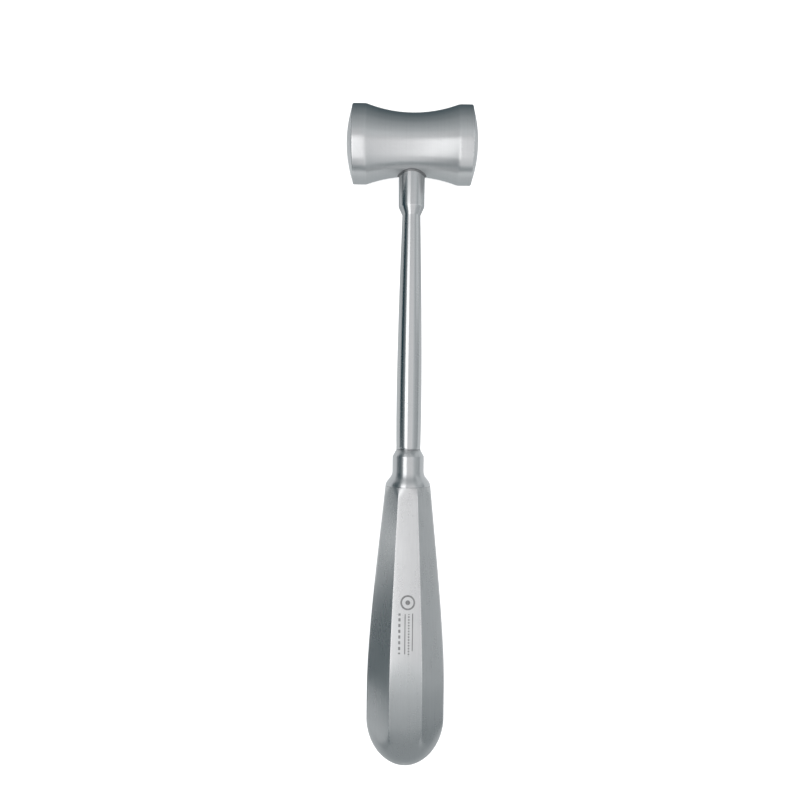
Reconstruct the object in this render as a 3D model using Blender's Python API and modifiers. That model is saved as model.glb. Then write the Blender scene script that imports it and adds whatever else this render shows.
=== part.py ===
"""Surgical bone mallet, all stainless steel, lying on its back on a table.

Frame: the table is z = 0 and the mallet lies along Y, with its head at +Y and its butt at -Y.
The head's own axis runs along X. The side that faces up, +Z, is the front.
Turned pieces are drawn as (radius, station) outlines. A station is the distance from the head's axis
towards the butt, so the head's axis is station 0 and the butt's tip is the last station.
Lengths below are in millimetres and become metres where meshes are made.
"""

import math

import bmesh
import bpy
from mathutils import Matrix

MM = 0.001

# Whole object
OVERALL_LENGTH = 220.0
GAP = 0.3

# Head: a solid barrel with a hollowed waist and two slightly domed striking faces
HEAD_RADIUS = 13.05
HEAD_BAND_END = 19.8
HEAD_BAND_WIDTH = 4.45
HEAD_WAIST_RADIUS = 10.3
HEAD_DOME_HEIGHT = 2.1
HEAD_RIM_ROUNDING = 0.35

# Seat of the shaft in the head
SEAT_RADIUS = 5.6
SEAT_STATION = 7.5
SPIGOT_RADIUS = 3.0
SPIGOT_DEPTH = 6.0
BRAZE_WIDTH = 0.7
PIN_RADIUS = 1.25

# Shaft: collar under the head, short cone, long taper, tang inside the handle
COLLAR_RADIUS_TOP = 4.36
COLLAR_RADIUS_END = 4.28
COLLAR_END = 20.9
CONE_END = 23.7
SHAFT_RADIUS_TOP = 3.02
SHAFT_RADIUS_END = 4.03
SHAFT_BOW = ((50.0, 3.80), (82.0, 4.50))
TANG_RADIUS = 3.0
TANG_END = 132.0

# Neck ferrule: chamfer, plain ring, flare, and a spigot inside the handle
FERRULE_START = 102.0
RING_START = 104.2
RING_END = 109.2
RING_RADIUS = 5.25
FLARE_BOW = ((111.6, 5.3), (112.0, 7.4))
SHOULDER = 114.1
SHOULDER_RADIUS = 7.5
FERRULE_SPIGOT_RADIUS = 5.9
FERRULE_END = 121.0

# Handle: a hollow regular octagon that swells towards the butt, in two pressed half shells
HANDLE_HALF_WIDTH = 12.80
HANDLE_BOW = ((139.0, 9.95), (163.5, 12.80))
HANDLE_FULL = 180.0
BUTT_START = 190.2
BUTT_SIDE_FULLNESS = 2.3
BUTT_TIP_FULLNESS = 1.8
WALL = 1.2
EDGE_ROUNDING = 1.0
FACETS_BEGIN = 116.2
FACETS_FADE_FROM = 190.0
FACETS_FADE_TO = 201.0
SEAM_WIDTH = 0.6
VENT_RADIUS = 2.5
VENT_PLUG_LENGTH = 3.4

# Small breaks on hidden ends, and the solder fillet inside the handle
SHAFT_END_BREAK = 0.5
SMALL_END_BREAK = 0.3
TANG_BRAZE_LENGTH = 1.6
TANG_BRAZE_WIDTH = 1.7
TANG_BRAZE_TOE = 0.3

# How far a cutter runs past the surface it cuts through, and how far the pin stays below the waist
OVERRUN = 2.0
PIN_SETBACK = 0.05

# Fineness of the faceted solids
TURN_STEPS = 40
SMALL_TURN_STEPS = 28
PIN_TURN_STEPS = 20
CORNER_STEPS = 3

# Worked out from the above
HEAD_AXIS_Y = OVERALL_LENGTH / 2 - HEAD_RADIUS
AXIS_Z = HEAD_RADIUS
BUTT_END = OVERALL_LENGTH - HEAD_RADIUS
OCTANT = math.radians(45.0)
SHELL_EDGE = SEAM_WIDTH / 2 + GAP


def clear_scene():
    """Remove every object, so that the script gives the same model from any open file."""
    for found in list(bpy.data.objects):
        bpy.data.objects.remove(found, do_unlink=True)


def new_collection(name):
    """A collection linked to the scene."""
    made = bpy.data.collections.new(name)
    bpy.context.scene.collection.children.link(made)
    return made


def steel(name, colour, roughness):
    """A stainless steel finish."""
    made = bpy.data.materials.new(name)
    made.use_nodes = True
    shader = made.node_tree.nodes["Principled BSDF"]
    shader.inputs["Base Color"].default_value = (*colour, 1.0)
    shader.inputs["Roughness"].default_value = roughness
    shader.inputs["Metallic"].default_value = 1.0
    made.diffuse_color = (*colour, 1.0)
    return made


def bezier(start, handles, end, steps):
    """Points on a cubic from start to end, both included."""
    points = []
    for i in range(steps + 1):
        t = i / steps
        weights = ((1 - t) ** 3, 3 * t * (1 - t) ** 2, 3 * t * t * (1 - t), t ** 3)
        corners = (start, handles[0], handles[1], end)
        points.append(tuple(sum(w * c[k] for w, c in zip(weights, corners)) for k in (0, 1)))
    return points


def add_object(name, mesh, collection):
    """An object for a mesh, in its collection."""
    made = bpy.data.objects.new(name, mesh)
    collection.objects.link(made)
    return made


def turned(name, outline, collection, steps=TURN_STEPS, closed=False):
    """A solid turned about the object's Z axis from (radius, height) points, listed from the top down."""
    mesh = bpy.data.meshes.new(name)
    build = bmesh.new()
    corners = [build.verts.new((radius * MM, 0.0, height * MM)) for radius, height in outline]
    for first, second in zip(corners, corners[1:]):
        build.edges.new((first, second))
    if closed:
        build.edges.new((corners[-1], corners[0]))
    build.to_mesh(mesh)
    build.free()
    made = add_object(name, mesh, collection)
    screw = made.modifiers.new("Turn", "SCREW")
    screw.steps = steps
    screw.render_steps = steps
    screw.use_merge_vertices = True
    screw.merge_threshold = 0.00001
    return made


def along_handle(made):
    """Place a piece whose own Z axis points from the butt to the head, with its origin on the head's axis."""
    made.location = (0.0, HEAD_AXIS_Y * MM, AXIS_Z * MM)
    made.rotation_euler = (math.radians(-90.0), 0.0, 0.0)
    return made


def across_head(made):
    """Place a piece whose own Z axis is the head's axis, along X."""
    made.location = (0.0, HEAD_AXIS_Y * MM, AXIS_Z * MM)
    made.rotation_euler = (0.0, math.radians(90.0), 0.0)
    return made


def up_through_head(made):
    """Place a piece whose own Z axis is the world's, on the crossing of the head's and the shaft's axes."""
    made.location = (0.0, HEAD_AXIS_Y * MM, AXIS_Z * MM)
    return made


def plain_cylinder(name, radius, low, high, collection, steps=SMALL_TURN_STEPS):
    """A cylinder about the object's Z axis, from height low to high."""
    mesh = bpy.data.meshes.new(name)
    build = bmesh.new()
    middle = Matrix.Translation((0.0, 0.0, (low + high) / 2 * MM))
    bmesh.ops.create_cone(
        build,
        cap_ends=True,
        segments=steps,
        radius1=radius * MM,
        radius2=radius * MM,
        depth=(high - low) * MM,
        matrix=middle,
    )
    build.to_mesh(mesh)
    build.free()
    return add_object(name, mesh, collection)


def boolean(target, other, operation):
    """Cut target with other, or keep only what they share."""
    step = target.modifiers.new(operation.title(), "BOOLEAN")
    step.operation = operation
    step.solver = "EXACT"
    step.object = other


def as_cutter(made):
    """Mark an object as a tool for cutting, not a piece."""
    made.hide_render = True
    made.display_type = "WIRE"
    return made


def smooth(made, angle=30.0):
    """Shade a mesh smooth except across its real edges."""
    made.data.shade_smooth()
    made.data.set_sharp_from_angle(angle=math.radians(angle))


# ---------------------------------------------------------------- outlines


def arc(radius_of_arc, centre, first, last, steps):
    """Points on an arc, for angles in degrees from the +radius direction."""
    points = []
    for i in range(steps + 1):
        angle = math.radians(first + (last - first) * i / steps)
        points.append(
            (centre[0] + radius_of_arc * math.cos(angle), centre[1] + radius_of_arc * math.sin(angle))
        )
    return points


def dome_outline():
    """The striking face from the axis to the rim, as (radius, height) points."""
    edge = HEAD_RADIUS - HEAD_RIM_ROUNDING
    ball = (edge ** 2 + HEAD_DOME_HEIGHT ** 2) / (2 * HEAD_DOME_HEIGHT)
    top = HEAD_BAND_END + HEAD_DOME_HEIGHT
    centre = (0.0, top - ball)
    half_angle = math.degrees(math.asin(edge / ball))
    points = arc(ball, centre, 90.0, 90.0 - half_angle, 5)
    points[0] = (0.0, top)
    return points


def waist_outline():
    """The hollowed waist between the two bands, a single arc."""
    half = HEAD_BAND_END - HEAD_BAND_WIDTH
    hollow = HEAD_RADIUS - HEAD_WAIST_RADIUS
    sweep = (half ** 2 + hollow ** 2) / (2 * hollow)
    centre = (HEAD_WAIST_RADIUS + sweep, 0.0)
    half_angle = math.degrees(math.asin(half / sweep))
    return arc(sweep, centre, 180.0 - half_angle, 180.0 + half_angle, 12)


def head_outline():
    """The whole barrel, from one striking face's middle to the other's."""
    dome = dome_outline()
    rim = [(HEAD_RADIUS, HEAD_BAND_END - HEAD_RIM_ROUNDING)]
    upper = dome + rim
    lower = [(radius, -height) for radius, height in reversed(upper)]
    return upper + waist_outline() + lower


def body_stations():
    """(station, half width) of the handle from its shoulder to the end of the full-width stretch."""
    start = (SHOULDER, SHOULDER_RADIUS)
    end = (HANDLE_FULL, HANDLE_HALF_WIDTH)
    grown = bezier(start, HANDLE_BOW, end, 9)
    first = (SHOULDER + GAP, SHOULDER_RADIUS)
    facets = (FACETS_BEGIN, SHOULDER_RADIUS + (grown[1][1] - SHOULDER_RADIUS)
              * (FACETS_BEGIN - SHOULDER) / (grown[1][0] - SHOULDER))
    return [first, facets] + grown[1:] + [(BUTT_START, HANDLE_HALF_WIDTH)]


def butt_stations(opening, steps=9):
    """(station, half width) round the butt, evenly turned, down to a half width of opening."""
    last = math.acos((opening / HANDLE_HALF_WIDTH) ** (BUTT_TIP_FULLNESS / 2))
    found = []
    for i in range(1, steps + 1):
        angle = last * i / steps
        station = BUTT_START + (BUTT_END - BUTT_START) * math.sin(angle) ** (2 / BUTT_SIDE_FULLNESS)
        found.append((station, HANDLE_HALF_WIDTH * math.cos(angle) ** (2 / BUTT_TIP_FULLNESS)))
    return found


def roundness(station):
    """How far the section has gone from octagon to circle: 1 at the neck, 0 on the grip, 1 at the butt."""
    if station < FACETS_BEGIN:
        return 1.0
    share = (station - FACETS_FADE_FROM) / (FACETS_FADE_TO - FACETS_FADE_FROM)
    share = max(0.0, min(1.0, share))
    return share * share * (3.0 - 2.0 * share)


def half_section(station, half_width):
    """The front half of the handle's section at a station, as (x, z) points from +X to -X.

    Each corner of the octagon is a short arc. The same points, spread evenly round a half circle that
    also stops at the seam, give the round section, and the section in between is a mix of the two.
    """
    mix = roundness(station)
    reach = (half_width - EDGE_ROUNDING) / math.cos(OCTANT / 2)
    edge_angle = math.asin(SHELL_EDGE / half_width)
    step = OCTANT / (CORNER_STEPS + 1)
    points = [(half_width, SHELL_EDGE, 0.0)]
    for k in range(4):
        middle = OCTANT * (k + 0.5)
        for i in range(CORNER_STEPS + 1):
            angle = middle - OCTANT / 2 + OCTANT * i / CORNER_STEPS
            x = reach * math.cos(middle) + EDGE_ROUNDING * math.cos(angle)
            z = reach * math.sin(middle) + EDGE_ROUNDING * math.sin(angle)
            points.append((x, z, middle + (i - CORNER_STEPS / 2) * step))
    points.append((-half_width, SHELL_EDGE, math.pi))
    section = []
    for x, z, spread in points:
        angle = edge_angle + (math.pi - 2 * edge_angle) * spread / math.pi
        round_x = half_width * math.cos(angle)
        round_z = half_width * math.sin(angle)
        section.append((x + (round_x - x) * mix, z + (round_z - z) * mix))
    return section


# ---------------------------------------------------------------- head


def make_head(parts, cutters, finish):
    """The barrel, bored for the shaft's spigot and for the pin, with a seat for the collar."""
    head = across_head(turned("head_barrel", head_outline(), parts))
    head.data.materials.append(finish)
    outside = -(HEAD_RADIUS + OVERRUN)
    seat = along_handle(plain_cylinder("seat_cutter", SEAT_RADIUS, outside, -SEAT_STATION, cutters))
    bore = along_handle(
        plain_cylinder("spigot_cutter", SPIGOT_RADIUS + GAP, -SEAT_STATION - OVERRUN, SPIGOT_DEPTH, cutters)
    )
    pin_way = up_through_head(
        plain_cylinder("pin_cutter", PIN_RADIUS + GAP, outside, SPIGOT_RADIUS, cutters, PIN_TURN_STEPS)
    )
    for cutter in (seat, bore, pin_way):
        boolean(head, as_cutter(cutter), "DIFFERENCE")
    return head


def make_braze_ring(parts, cutters, finish):
    """The ring of hard solder round the collar, whose outer face follows the hollow of the waist."""
    inner = COLLAR_RADIUS_TOP + GAP
    outer = inner + BRAZE_WIDTH
    low = -(HEAD_RADIUS + OVERRUN)
    high = -(SEAT_STATION + GAP)
    outline = [(inner, high), (outer, high), (outer, low), (inner, low)]
    ring = along_handle(
        turned("head_braze_ring", outline, parts, SMALL_TURN_STEPS, closed=True)
    )
    ring.data.materials.append(finish)
    form = across_head(turned("waist_form", head_outline(), cutters))
    boolean(ring, as_cutter(form), "INTERSECT")
    return ring


def make_pin(parts, finish):
    """The pin that locks the spigot in the head, driven from the back and ground flush with the waist."""
    low = -(HEAD_WAIST_RADIUS - PIN_SETBACK)
    high = SPIGOT_RADIUS - 2 * GAP
    ease = SMALL_END_BREAK
    outline = [
        (0.0, high),
        (PIN_RADIUS - ease, high),
        (PIN_RADIUS, high - ease),
        (PIN_RADIUS, low),
        (0.0, low),
    ]
    pin = up_through_head(turned("head_lock_pin", outline, parts, PIN_TURN_STEPS))
    pin.data.materials.append(finish)
    return pin


# ---------------------------------------------------------------- shaft and neck


def make_shaft(parts, cutters, finish):
    """Spigot, collar, cone, long taper and tang, turned from one bar."""
    seat = SEAT_STATION + GAP
    end = FERRULE_START - GAP
    taper = bezier((CONE_END, SHAFT_RADIUS_TOP), SHAFT_BOW, (end, SHAFT_RADIUS_END), 12)
    ease = SHAFT_END_BREAK
    stations = [
        (-SPIGOT_DEPTH + GAP, 0.0),
        (-SPIGOT_DEPTH + GAP, SPIGOT_RADIUS - ease),
        (-SPIGOT_DEPTH + GAP + ease, SPIGOT_RADIUS),
        (seat, SPIGOT_RADIUS),
        (seat, COLLAR_RADIUS_TOP),
        (COLLAR_END, COLLAR_RADIUS_END),
    ]
    stations += taper
    stations += [
        (end, TANG_RADIUS),
        (TANG_END - ease, TANG_RADIUS),
        (TANG_END, TANG_RADIUS - ease),
        (TANG_END, 0.0),
    ]
    outline = [(radius, -station) for station, radius in stations]
    shaft = along_handle(turned("shaft", outline, parts, SMALL_TURN_STEPS))
    shaft.data.materials.append(finish)
    pin_way = up_through_head(
        plain_cylinder("spigot_pin_cutter", PIN_RADIUS + GAP, -SPIGOT_RADIUS - OVERRUN,
                       SPIGOT_RADIUS - GAP, cutters, PIN_TURN_STEPS)
    )
    boolean(shaft, as_cutter(pin_way), "DIFFERENCE")
    return shaft


def make_ferrule(parts, finish):
    """The neck: chamfer, ring and flare outside, a bore for the tang and a spigot for the shells inside."""
    flare = bezier((RING_END, RING_RADIUS), FLARE_BOW, (SHOULDER, SHOULDER_RADIUS), 8)
    bore = TANG_RADIUS + GAP
    stations = [
        (FERRULE_START, bore),
        (FERRULE_START, SHAFT_RADIUS_END),
        (RING_START, RING_RADIUS),
    ]
    stations += flare
    stations += [
        (SHOULDER, FERRULE_SPIGOT_RADIUS),
        (FERRULE_END, FERRULE_SPIGOT_RADIUS),
        (FERRULE_END, bore),
    ]
    outline = [(radius, -station) for station, radius in stations]
    ferrule = along_handle(turned("neck_ferrule", outline, parts, SMALL_TURN_STEPS, closed=True))
    ferrule.data.materials.append(finish)
    return ferrule


def make_tang_braze(parts, finish):
    """The fillet of hard solder that holds the tang where it leaves the ferrule, inside the handle."""
    inner = TANG_RADIUS + GAP
    start = -(FERRULE_END + GAP)
    end = start - TANG_BRAZE_LENGTH
    outline = [(inner, start), (inner + TANG_BRAZE_WIDTH, start), (inner + TANG_BRAZE_TOE, end), (inner, end)]
    ring = along_handle(turned("tang_braze_ring", outline, parts, SMALL_TURN_STEPS, closed=True))
    ring.data.materials.append(finish)
    return ring


# ---------------------------------------------------------------- handle


def make_shell(name, side, parts, cutters, finish):
    """One pressed half of the hollow handle. Side is +1 for the front half and -1 for the rear half."""
    skin = body_stations() + butt_stations(VENT_RADIUS)
    rings = [(station, half_section(station, half)) for station, half in skin]
    build = bmesh.new()
    rows = []
    for station, section in rings:
        y = HEAD_AXIS_Y - station
        rows.append([build.verts.new((x * MM, y * MM, (AXIS_Z + side * z) * MM)) for x, z in section])
    for upper, lower in zip(rows, rows[1:]):
        for i in range(len(upper) - 1):
            corners = (upper[i], lower[i], lower[i + 1], upper[i + 1])
            build.faces.new(corners if side < 0 else corners[::-1])
    mesh = bpy.data.meshes.new(name)
    build.to_mesh(mesh)
    build.free()
    shell = add_object(name, mesh, parts)
    thicken = shell.modifiers.new("Wall", "SOLIDIFY")
    thicken.thickness = WALL * MM
    thicken.offset = -1.0
    thicken.use_even_offset = True
    shell.data.materials.append(finish)
    vent = plain_cylinder(
        name + "_vent_cutter", VENT_RADIUS + GAP, -BUTT_END - OVERRUN, -BUTT_END + 2 * VENT_PLUG_LENGTH, cutters
    )
    boolean(shell, as_cutter(along_handle(vent)), "DIFFERENCE")
    return shell


def make_seam(name, side, parts, finish):
    """The weld that joins the two shells along one side, ground flush: a flat strip in the seam's plane."""
    skin = body_stations() + butt_stations(VENT_RADIUS + 3 * GAP)
    inner = []
    for i, (station, half) in enumerate(skin):
        before = skin[max(i - 1, 0)]
        after = skin[min(i + 1, len(skin) - 1)]
        run = after[0] - before[0]
        rise = after[1] - before[1]
        span = math.hypot(run, rise)
        inner.append((station + WALL * rise / span, half - WALL * run / span))
    loop = skin + inner[::-1]
    flat = bpy.data.curves.new(name, "CURVE")
    flat.dimensions = "2D"
    flat.fill_mode = "BOTH"
    flat.extrude = SEAM_WIDTH / 2 * MM
    spline = flat.splines.new("POLY")
    spline.points.add(len(loop) - 1)
    spline.use_cyclic_u = True
    for point, (station, half) in zip(spline.points, loop):
        point.co = (side * half * MM, (HEAD_AXIS_Y - station) * MM, 0.0, 1.0)
    seam = add_object(name, flat, parts)
    seam.location = (0.0, 0.0, AXIS_Z * MM)
    seam.data.materials.append(finish)
    return seam


def make_vent_plug(parts, finish):
    """The plug that closes the vent hole in the butt, dressed to the butt's curve."""
    outer = []
    for i in range(4):
        radius = VENT_RADIUS * i / 3
        share = (1.0 - (radius / HANDLE_HALF_WIDTH) ** BUTT_TIP_FULLNESS) ** (1.0 / BUTT_SIDE_FULLNESS)
        outer.append((radius, -(BUTT_START + (BUTT_END - BUTT_START) * share)))
    inside = -(BUTT_END - VENT_PLUG_LENGTH)
    ease = SMALL_END_BREAK
    outline = [(0.0, inside), (VENT_RADIUS - ease, inside), (VENT_RADIUS, inside - ease)] + outer[::-1]
    plug = along_handle(turned("butt_vent_plug", outline, parts, SMALL_TURN_STEPS))
    plug.data.materials.append(finish)
    return plug


def main():
    clear_scene()
    parts = new_collection("surgical_bone_mallet")
    cutters = new_collection("cutters")
    satin = steel("satin_steel", (0.60, 0.61, 0.62), 0.38)
    polished = steel("polished_steel", (0.66, 0.67, 0.68), 0.12)
    brushed = steel("brushed_steel", (0.62, 0.63, 0.64), 0.30)
    solder = steel("silver_solder", (0.55, 0.54, 0.50), 0.45)
    weld = steel("ground_weld", (0.58, 0.58, 0.58), 0.35)

    make_head(parts, cutters, satin)
    make_braze_ring(parts, cutters, solder)
    make_pin(parts, satin)
    make_shaft(parts, cutters, polished)
    make_ferrule(parts, polished)
    make_tang_braze(parts, solder)
    make_shell("handle_shell_front", 1, parts, cutters, brushed)
    make_shell("handle_shell_rear", -1, parts, cutters, brushed)
    make_seam("seam_weld_right", 1, parts, weld)
    make_seam("seam_weld_left", -1, parts, weld)
    make_vent_plug(parts, brushed)
    for made in parts.objects:
        if made.type == "MESH":
            smooth(made)


main()
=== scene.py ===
"""Looks of the surgical bone mallet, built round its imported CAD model.

Every length in a named value below is in millimetres, and becomes metres where a mesh is made.
A station is the distance from the head's axis towards the butt, as in the CAD source.
"""

import math

import bmesh
import bpy
import numpy as np
from mathutils import Matrix, Vector


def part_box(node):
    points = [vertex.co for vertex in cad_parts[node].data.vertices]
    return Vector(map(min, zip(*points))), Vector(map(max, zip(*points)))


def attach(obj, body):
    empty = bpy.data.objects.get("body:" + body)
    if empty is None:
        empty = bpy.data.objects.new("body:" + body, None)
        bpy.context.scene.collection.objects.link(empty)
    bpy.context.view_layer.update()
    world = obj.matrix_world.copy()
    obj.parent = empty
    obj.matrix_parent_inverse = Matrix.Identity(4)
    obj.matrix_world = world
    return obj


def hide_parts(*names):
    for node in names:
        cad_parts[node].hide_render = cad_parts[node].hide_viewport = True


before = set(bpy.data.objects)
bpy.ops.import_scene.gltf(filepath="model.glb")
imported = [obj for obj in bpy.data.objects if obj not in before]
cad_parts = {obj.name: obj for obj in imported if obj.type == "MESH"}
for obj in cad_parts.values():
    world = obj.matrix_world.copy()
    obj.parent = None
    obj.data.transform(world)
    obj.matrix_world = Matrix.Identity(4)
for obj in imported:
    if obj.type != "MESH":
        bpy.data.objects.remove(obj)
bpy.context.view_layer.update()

MM = 0.001

# ---------------------------------------------------------------- sizes, from the frame

HEAD_LOW, HEAD_HIGH = (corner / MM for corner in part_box("head_barrel"))
SHELL_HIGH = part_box("handle_shell_front")[1] / MM
BUTT_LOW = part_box("butt_vent_plug")[0] / MM

HEAD_RADIUS = (HEAD_HIGH.z - HEAD_LOW.z) / 2
HEAD_HALF_LENGTH = HEAD_HIGH.x
HEAD_AXIS_Y = HEAD_HIGH.y - HEAD_RADIUS
AXIS_Z = HEAD_RADIUS
BUTT_END = HEAD_AXIS_Y - BUTT_LOW.y
HANDLE_HALF_WIDTH = SHELL_HIGH.x

# A bow is the two (station, radius) handles of a cubic

# Head
DOME_HEIGHT = 2.1
BAND_END = HEAD_HALF_LENGTH - DOME_HEIGHT
BAND_WIDTH = 4.45
WAIST_RADIUS = 10.3
BAND_ROUNDING = 4.0
RIM_ROUNDING = 0.35
WAIST_HALF = BAND_END - BAND_WIDTH
WAIST_HOLLOW = HEAD_RADIUS - WAIST_RADIUS
WAIST_SWEEP = (WAIST_HALF ** 2 + WAIST_HOLLOW ** 2) / (2 * WAIST_HOLLOW)

# Shaft
SPIGOT_RADIUS = 3.0
SPIGOT_DEPTH = 5.7
SEAT_STATION = 7.8
COLLAR_RADIUS = 4.36
COLLAR_RADIUS_END = 4.28
COLLAR_END = 20.9
CONE_END = 23.7
SHAFT_RADIUS_TOP = 3.02
SHAFT_RADIUS_END = 4.03
SHAFT_BOW = ((50.0, 3.80), (82.0, 4.50))
TANG_END = 132.0

# Neck
FERRULE_START = 102.0
RING_START = 104.2
RING_END = 109.2
RING_RADIUS = 5.25
FLARE_BOW = ((111.6, 5.3), (112.0, 7.4))
SHOULDER = 114.1
SHOULDER_RADIUS = 7.5
FERRULE_SPIGOT_RADIUS = 5.9
FERRULE_END = 121.0

# Handle
HANDLE_BOW = ((139.0, 9.95), (163.5, 12.80))
HANDLE_FULL = 180.0
BUTT_START = 190.2
BUTT_SIDE_FULLNESS = 2.3
BUTT_TIP_FULLNESS = 1.8
WALL = 1.2
CORNER_RADIUS = 0.28
SIDE_CORNER_RADIUS = 1.7
LAST_CORNER_SHARE = 0.9
LAST_ROUNDNESS = 0.98
FACETS_BEGIN = 116.2
FACETS_BEGIN_POWER = 0.8
SKIN_PROUD = 0.01
FACET_RADIUS = 110.0
FACETS_FADE_FROM = 190.0
FACETS_FADE_TO = 201.0
SEAM_WIDTH = 0.7
SEAM_CREST = 0.012
SEAM_EASE = 0.01
VENT_RADIUS = 2.5
VENT_PLUG_LENGTH = 3.4
OCTANT = math.radians(45.0)

# Etched mark. Its rules are measured from the middle of its ring, which is at MARK_CENTRE in x and y.
# A rule is (place across, half width, start, end, dash length or 0).
MARK_CENTRE = (0.35, -53.6)
MARK_RING_RADIUS = 2.1
MARK_RING_WIDTH = 0.55
MARK_DOT_RADIUS = 0.75
MARK_RULES = (
    (-2.6, 0.34, -3.4, -16.2, 0.9),
    (-0.8, 0.16, -3.6, -16.2, 0.0),
    (0.4, 0.24, -3.6, -16.9, 0.45),
    (1.6, 0.16, -3.4, -15.2, 0.0),
)
MARK_DASH_SHARE = 0.55

# Small pieces. A hairline is the clearance that keeps two fitted pieces apart.
HAIRLINE = 0.025
BORE_EASE = 0.02
SEAT_EASE = 0.25
SEAT_DEEPER = 0.1
FILLET = 0.5
FILLET_EASE = 0.005
FILLET_BED = 0.1
FILLET_ROOT = 0.4
PIN_RADIUS = 1.25
PIN_TIP = -2.4
OVERRUN = 20.0

# How finely the turned pieces are divided round their axis
HEAD_STEPS = 320
BAR_STEPS = 192
SMALL_STEPS = 96
PIN_STEPS = 64

# Rows of the handle's skin along its body, its straight part and its butt, and points across each facet
BODY_ROWS = 90
STRAIGHT_ROWS = 9
BUTT_ROWS = 60
FACET_POINTS = 9
HALF_FACET_POINTS = 5

# Radius at which each piece's surface is unrolled for its scratches
HEAD_UNROLLED = 11.0
SHAFT_UNROLLED = 4.2
NECK_UNROLLED = 7.0
GRIP_UNROLLED = 11.0


# ---------------------------------------------------------------- shapes and meshes


def bezier(start, handles, end, steps):
    """Points on a cubic from start to end, both included."""
    corners = np.array([start, *handles, end], float)
    t = np.linspace(0.0, 1.0, steps + 1)[:, None]
    weights = np.hstack([(1 - t) ** 3, 3 * t * (1 - t) ** 2, 3 * t * t * (1 - t), t ** 3])
    return [tuple(point) for point in weights @ corners]


def around(steps):
    """Angles evenly spaced round a circle."""
    return np.linspace(0.0, 2 * math.pi, steps + 1)[:-1]


def arc(radius, centre, first, last, steps):
    """Points on an arc, for angles in degrees."""
    angles = np.radians(np.linspace(first, last, steps + 1))
    return [(centre[0] + radius * math.cos(a), centre[1] + radius * math.sin(a)) for a in angles]


def eased(corners, steps=5):
    """An outline whose corners are rounded. A corner is (a, b) or (a, b, radius)."""
    outline = []
    for i, corner in enumerate(corners):
        here = Vector(corner[:2])
        if len(corner) == 2:
            outline.append(tuple(here))
            continue
        back = (Vector(corners[i - 1][:2]) - here).normalized()
        on = (Vector(corners[i + 1][:2]) - here).normalized()
        half = back.angle(on) / 2
        reach = corner[2] / math.tan(half)
        middle = here + (back + on).normalized() * (corner[2] / math.sin(half))
        first = here + back * reach - middle
        turn = first.angle_signed(here + on * reach - middle)
        for k in range(steps + 1):
            swing = Matrix.Rotation(-turn * k / steps, 2)
            outline.append(tuple(middle + swing @ first))
    return outline


def linked(name, data):
    """A new object in the scene."""
    made = bpy.data.objects.new(name, data)
    bpy.context.scene.collection.objects.link(made)
    return made


def plain_mesh(name, points, faces):
    """A mesh from points in millimetres."""
    mesh = bpy.data.meshes.new(name)
    mesh.from_pydata([tuple(np.array(point) * MM) for point in points], [], faces)
    return mesh


def solid_mesh(name, points, faces):
    """A mesh from points in millimetres, with every face turned outwards."""
    mesh = plain_mesh(name, points, faces)
    mesh.validate()
    build = bmesh.new()
    build.from_mesh(mesh)
    bmesh.ops.recalc_face_normals(build, faces=build.faces)
    build.to_mesh(mesh)
    build.free()
    return mesh


def mesh_object(name, points, faces, material, replaced):
    """A smooth-shaded piece that rides on the mallet and stands for a CAD node."""
    mesh = solid_mesh(name, points, faces)
    mesh.shade_smooth()
    mesh.materials.append(material)
    made = linked(name, mesh)
    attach(made, "root")
    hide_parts(replaced)
    return made


def between_rings(count, wide, closed=False):
    """Quads that join each ring of points to the next, and the last to the first if closed."""
    faces = []
    for i in range(count if closed else count - 1):
        j = (i + 1) % count
        for k in range(wide):
            m = (k + 1) % wide
            faces.append((i * wide + k, i * wide + m, j * wide + m, j * wide + k))
    return faces


def lathe(outline, steps, place):
    """(points, faces) of a solid turned from a (radius, height) outline.

    The outline starts and ends on the axis, or is closed and never meets it. place() puts (x, y, height)
    into the frame.
    """
    closed = outline[0][0] > 1e-9
    poles = [] if closed else [outline[0], outline[-1]]
    rings = outline if closed else outline[1:-1]
    points = []
    for radius, height in rings:
        for k in range(steps):
            angle = 2 * math.pi * k / steps
            points.append(place(radius * math.cos(angle), radius * math.sin(angle), height))
    faces = between_rings(len(rings), steps, closed)
    if poles:
        last = (len(rings) - 1) * steps
        points += [place(0.0, 0.0, poles[0][1]), place(0.0, 0.0, poles[1][1])]
        for k in range(steps):
            m = (k + 1) % steps
            faces.append((len(points) - 2, m, k))
            faces.append((len(points) - 1, last + k, last + m))
    return points, faces


def along_handle(x, y, station):
    """A turned piece's point on the shaft's line. Its height is a station."""
    return (x, HEAD_AXIS_Y - station, AXIS_Z + y)


def across_head(x, y, height):
    """A turned piece's point on the head's axis."""
    return (height, HEAD_AXIS_Y + x, AXIS_Z + y)


def upright(x, y, height):
    """A point of a piece that stands on the crossing of both axes."""
    return (x, HEAD_AXIS_Y + y, AXIS_Z + height)


def cut(made, points, faces):
    """Take a closed shape away from a piece."""
    cutter = linked("cutter", solid_mesh("cutter", points, faces))
    step = made.modifiers.new("Cut", "BOOLEAN")
    step.object = cutter
    step.solver = "EXACT"
    step.operation = "DIFFERENCE"
    apply_modifiers(made)
    bpy.data.objects.remove(cutter)


def apply_modifiers(made):
    """Turn a piece's modifiers into its own mesh."""
    graph = bpy.context.evaluated_depsgraph_get()
    result = bpy.data.meshes.new_from_object(made.evaluated_get(graph))
    made.modifiers.clear()
    made.data = result


# ---------------------------------------------------------------- materials


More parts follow.
